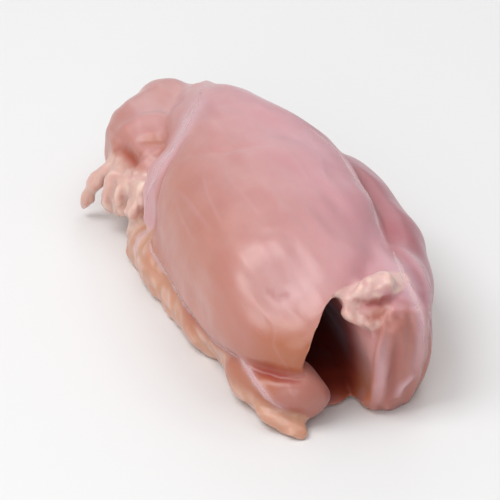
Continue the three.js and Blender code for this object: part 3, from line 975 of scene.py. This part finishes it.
# membrane film, also used for the painted highlight and the painted rim reflection
FILM_AND_HIGHLIGHT = (0.66, 0.45, 0.51, 1)
FAT_CREAM = (0.76, 0.56, 0.48, 1)
FAT_ROSE = (0.70, 0.46, 0.41, 1)
# crimson: partly juice, partly painted shade in the creases and the hollow
CRIMSON_AND_SHADE = (0.34, 0.03, 0.015, 1)
# painted shade deep in the hollow
HOLLOW_SHADE = (0.15, 0.015, 0.007, 1)
TINTS = {"lilac_and_cool_light": LILAC_AND_COOL_LIGHT, "mauve": FLANK_MAUVE, "warm_shade": WARM_SHADE, "raw": RAW_BROWN,
         "old_fat": OLD_FAT, "film_and_highlight": FILM_AND_HIGHLIGHT}
MUSCLE_PATCH = 14
BLUSH_PATCH = 5
FAT_PATCH = 3
EVEN_RANGE = (0.35, 0.65)
BLUSH_RANGE = (0.5, 0.7)
BLUSH_MOST = 0.45
CREAM_RANGE = (0.4, 0.65)
DEPTH_OF_FLESH = {
    "Sheen Weight": 0.15, "Sheen Roughness": 0.35, "Sheen Tint": (0.9, 0.82, 1.0, 1),
    "Subsurface Weight": 0.45, "Subsurface Radius": (1, 0.45, 0.35), "Subsurface Scale": 3 * MM,
}
flesh, tree, shader, place = wet_material("moist_flesh")
pale = spread(tree, noise(tree, place, MUSCLE_PATCH), *EVEN_RANGE)
colour = blend_colour(tree, pale, MUSCLE_ROSE, MUSCLE_PALE)
blush = spread(tree, noise(tree, place, BLUSH_PATCH, 4, (1, 0.4, 1)), *BLUSH_RANGE, 0, BLUSH_MOST)
colour = blend_colour(tree, blush, colour, MUSCLE_BLUSH)
# the tints, some of them painted light: cool light in the lilac, shade and warm reflected light in the
# tan, a highlight and a rim reflection in the film
for name, tint in TINTS.items():
    colour = blend_colour(tree, mask(tree, name), colour, tint)
rosy = spread(tree, noise(tree, place, FAT_PATCH), *CREAM_RANGE)
cream = blend_colour(tree, rosy, FAT_CREAM, FAT_ROSE)
colour = blend_colour(tree, mask(tree, "fat"), colour, cream)
# painted shade: crimson in the creases, partly juice, then near black in the hollow
colour = blend_colour(tree, mask(tree, "crimson_and_shade"), colour, CRIMSON_AND_SHADE)
colour = blend_colour(tree, mask(tree, "hollow_shade"), colour, HOLLOW_SHADE)
tree.links.new(colour, shader.inputs["Base Color"])
set_sockets(shader, DEPTH_OF_FLESH)
fillet.data.materials.append(flesh)
print("flesh material has", len(tree.nodes), "nodes")

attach(fillet, "root")
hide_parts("fillet")

# %% [markdown]
# Shreds of membrane, the silver skin, lie along the seams between the muscles. Each is so thin that
# the flesh shows through it, and its torn rim catches the light. It could be painted on, but a rim
# needs an edge. So each shred is a ribbon along a line of relief, with a ragged width. A Shrinkwrap
# lays it on the skin, and a Solidify gives it its little thickness.

# %% Lay shreds of membrane along the seams
# line: (half the width in millimetres, where along the line it starts and ends, seed)
SHREDS = {
    "ridge_crest": (1.3, 0.04, 0.96, 41), "furrow_edge": (0.8, 0.03, 0.9, 42),
    "flank_film": (0.9, 0.0, 0.8, 43), "flank_fold": (0.7, 0.1, 0.95, 44),
    "strip_crease": (0.6, 0.02, 0.9, 45), "tongue_line": (0.7, 0.05, 0.9, 46),
}
SHRED_GRID = (140, 9)
SHRED_LIFT = 0.03
SHRED_THICKNESS = 0.04
SHRED_SMOOTHING = 2
USUAL_WIDTH = 0.72
NARROWEST = 0.1
SLOW_TEAR = (0.2, 9)
QUICK_TEAR = (0.16, 2.6)
EVERY_FOURTH = 4


def ribbon(line_name, half_width, start, end, seed):
    """P(t, s) = line(t) + s * width(t, s) * left(t). The width swells from both ends and is torn
    by two ripples, one slow and one quick. Left is square to the line and to the normal of the
    nearest of every fourth vertex."""
    along, across = SHRED_GRID
    t = np.linspace(start, end, along)
    centre = through(LINES[line_name][3], t) + TO_FRAME
    forward = unit(np.gradient(centre, axis=0))
    gap = ((relief[None, ::EVERY_FOURTH] - (centre - TO_FRAME)[:, None]) ** 2).sum(2)
    upward = normal[::EVERY_FOURTH][gap.argmin(1)]
    left = unit(np.cross(upward, forward))
    s = np.linspace(-1, 1, across)[None, :, None]
    rims = centre[:, None] + s * half_width * left[:, None]
    slow = SLOW_TEAR[0] * ripple_at(rims, SLOW_TEAR[1], seed)
    quick = QUICK_TEAR[0] * ripple_at(rims, QUICK_TEAR[1], seed + 10)
    torn = np.maximum(USUAL_WIDTH + slow + quick, NARROWEST)
    width = half_width * torn * swell(np.linspace(0, 1, along))[:, None]
    return centre[:, None] + s * width[..., None] * left[:, None]


def open_sheet(points, first):
    """Corners of an open grid, whose vertices count from first."""
    rows, columns = points.shape[:2]
    corner = first + np.arange(rows - 1)[:, None] * columns + np.arange(columns - 1)[None]
    return np.stack([corner, corner + 1, corner + columns + 1, corner + columns], -1).reshape(-1, 4)


ribbons = [ribbon(name, *values) for name, values in SHREDS.items()]
corners = [open_sheet(points, k * SHRED_GRID[0] * SHRED_GRID[1]) for k, points in enumerate(ribbons)]
places = np.concatenate([points.reshape(-1, 3) for points in ribbons])
shreds = piece_of("membrane_shreds", places, np.concatenate(corners).tolist())
lay = shreds.modifiers.new("lay", "SHRINKWRAP")
lay.target = fillet
lay.wrap_method = "NEAREST_SURFACEPOINT"
lay.wrap_mode = "ABOVE_SURFACE"
lay.offset = SHRED_LIFT * MM
even = shreds.modifiers.new("even", "SMOOTH")
even.factor = SMOOTH_FACTOR
even.iterations = SHRED_SMOOTHING
thicken = shreds.modifiers.new("thicken", "SOLIDIFY")
thicken.thickness = SHRED_THICKNESS * MM
thicken.offset = 0
apply_modifiers(shreds)
shreds.data.polygons.foreach_set("use_smooth", np.ones(len(shreds.data.polygons), bool))
print(len(SHREDS), "shreds have", len(shreds.data.polygons), "faces")

# %% [markdown]
# Membrane is nearly clear: the flesh shows through it with a pale haze on top. Transmission would
# bend the light, which so thin a skin does not do, so a low alpha mixes haze and flesh.

# %% Membrane material
MEMBRANE_ALPHA = 0.3
HAZE_PATCH = 4
SILVER_SKIN = (0.86, 0.67, 0.68, 1)
FILM_ROSE = (0.80, 0.56, 0.56, 1)
silver, tree, shader, place = wet_material("silver_skin")
rosy = spread(tree, noise(tree, place, HAZE_PATCH), *EVEN_RANGE)
haze = blend_colour(tree, rosy, SILVER_SKIN, FILM_ROSE)
tree.links.new(haze, shader.inputs["Base Color"])
set_sockets(shader, {"Alpha": MEMBRANE_ALPHA})
shreds.data.materials.append(silver)
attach(shreds, "root")
print("membrane material has", len(tree.nodes), "nodes")

# %% [markdown]
# The fillet lies on a plain pale floor. A grey a little below white keeps the contact shadow soft
# and lends the flesh no colour of its own.

# %% Put a floor under it
HALF_FLOOR = 2
FLOOR_GREY = (0.8, 0.8, 0.8, 1)
floor_mesh = bpy.data.meshes.new("floor")
floor_corners = [(-HALF_FLOOR, -HALF_FLOOR, 0), (HALF_FLOOR, -HALF_FLOOR, 0),
                 (HALF_FLOOR, HALF_FLOOR, 0), (-HALF_FLOOR, HALF_FLOOR, 0)]
floor_mesh.from_pydata(floor_corners, [], [(0, 1, 2, 3)])
floor = bpy.data.objects.new("floor", floor_mesh)
bpy.context.scene.collection.objects.link(floor)
floor_paint = bpy.data.materials.new("pale_floor")
floor_paint.use_nodes = True
floor_paint.node_tree.nodes["Principled BSDF"].inputs["Base Color"].default_value = FLOOR_GREY
floor_mesh.materials.append(floor_paint)
print("the floor is", 2 * HALF_FLOOR, "m wide")

# %% [markdown]
# The photograph has soft daylight from above and a little from the left, so the strongest square of
# light stands there. A wide one overhead opens the shadows, a third fills the fold from the front,
# and a weak one behind draws a pale rim along the far edge. A wet skin shows every lamp as a
# highlight, which is why all of them are large.

# %% Light it softly
WORLD_STRENGTH = 0.4
LAMPS_LOOK_AT = Vector((0, 0, 0.015))
# name: (place in metres, side of the square in metres, watts)
LAMPS = {
    "key": ((-0.34, 0.03, 0.66), 0.45, 3.0),
    "overhead": ((0.3, 0.1, 0.75), 0.6, 1.5),
    "front_fill": ((-0.4, -0.6, 0.35), 0.5, 1.8),
    "rim": ((0.35, 0.75, 0.4), 0.5, 0.6),
}
world = bpy.data.worlds.new("studio")
world.use_nodes = True
world.node_tree.nodes["Background"].inputs["Strength"].default_value = WORLD_STRENGTH
world.node_tree.nodes["Background"].inputs["Color"].default_value = (1, 1, 1, 1)
bpy.context.scene.world = world


def soft_box(name, place, side, watts):
    """A square area light that looks at the fillet's middle."""
    light = bpy.data.lights.new(name, "AREA")
    light.size = side
    light.energy = watts
    lamp = bpy.data.objects.new(name, light)
    bpy.context.scene.collection.objects.link(lamp)
    lamp.location = place
    lamp.rotation_euler = (LAMPS_LOOK_AT - Vector(place)).to_track_quat("-Z", "Y").to_euler()


for name, values in LAMPS.items():
    soft_box(name, *values)
print("lamps:", ", ".join(LAMPS))

# %% [markdown]
# The camera stands in front, to the left and above, and looks down by about thirty degrees. A long
# lens from well away keeps the near end from looming. The picture leans a little to one side, so
# its level direction is given too, and the camera's three axes follow from it.

# %% Set the camera
CAMERA_PLACE = np.array([-215.5, -539.2, 345.5])
LOOKED_AT = np.array([-4.5, -8.0, 12.0])
LEANING_HORIZON = np.array([0.912, -0.407, 0.042])
SENSOR_WIDTH = 36
FOCAL_LENGTH = 228
camera_data = bpy.data.cameras.new("camera")
camera = bpy.data.objects.new("camera", camera_data)
bpy.context.scene.collection.objects.link(camera)
camera_data.sensor_width = SENSOR_WIDTH
camera_data.lens = FOCAL_LENGTH
ahead = unit(LOOKED_AT - CAMERA_PLACE)
right = unit(LEANING_HORIZON - (LEANING_HORIZON @ ahead) * ahead)
axes = np.eye(4)
axes[:3, 0], axes[:3, 1], axes[:3, 2] = right, np.cross(right, ahead), -ahead
axes[:3, 3] = (CAMERA_PLACE + TO_FRAME) * MM
camera.matrix_world = Matrix(axes.tolist())
bpy.context.scene.camera = camera
bpy.context.scene.view_settings.view_transform = "Standard"
print("camera", round(float(np.linalg.norm(LOOKED_AT - CAMERA_PLACE))), "mm from what it looks at")
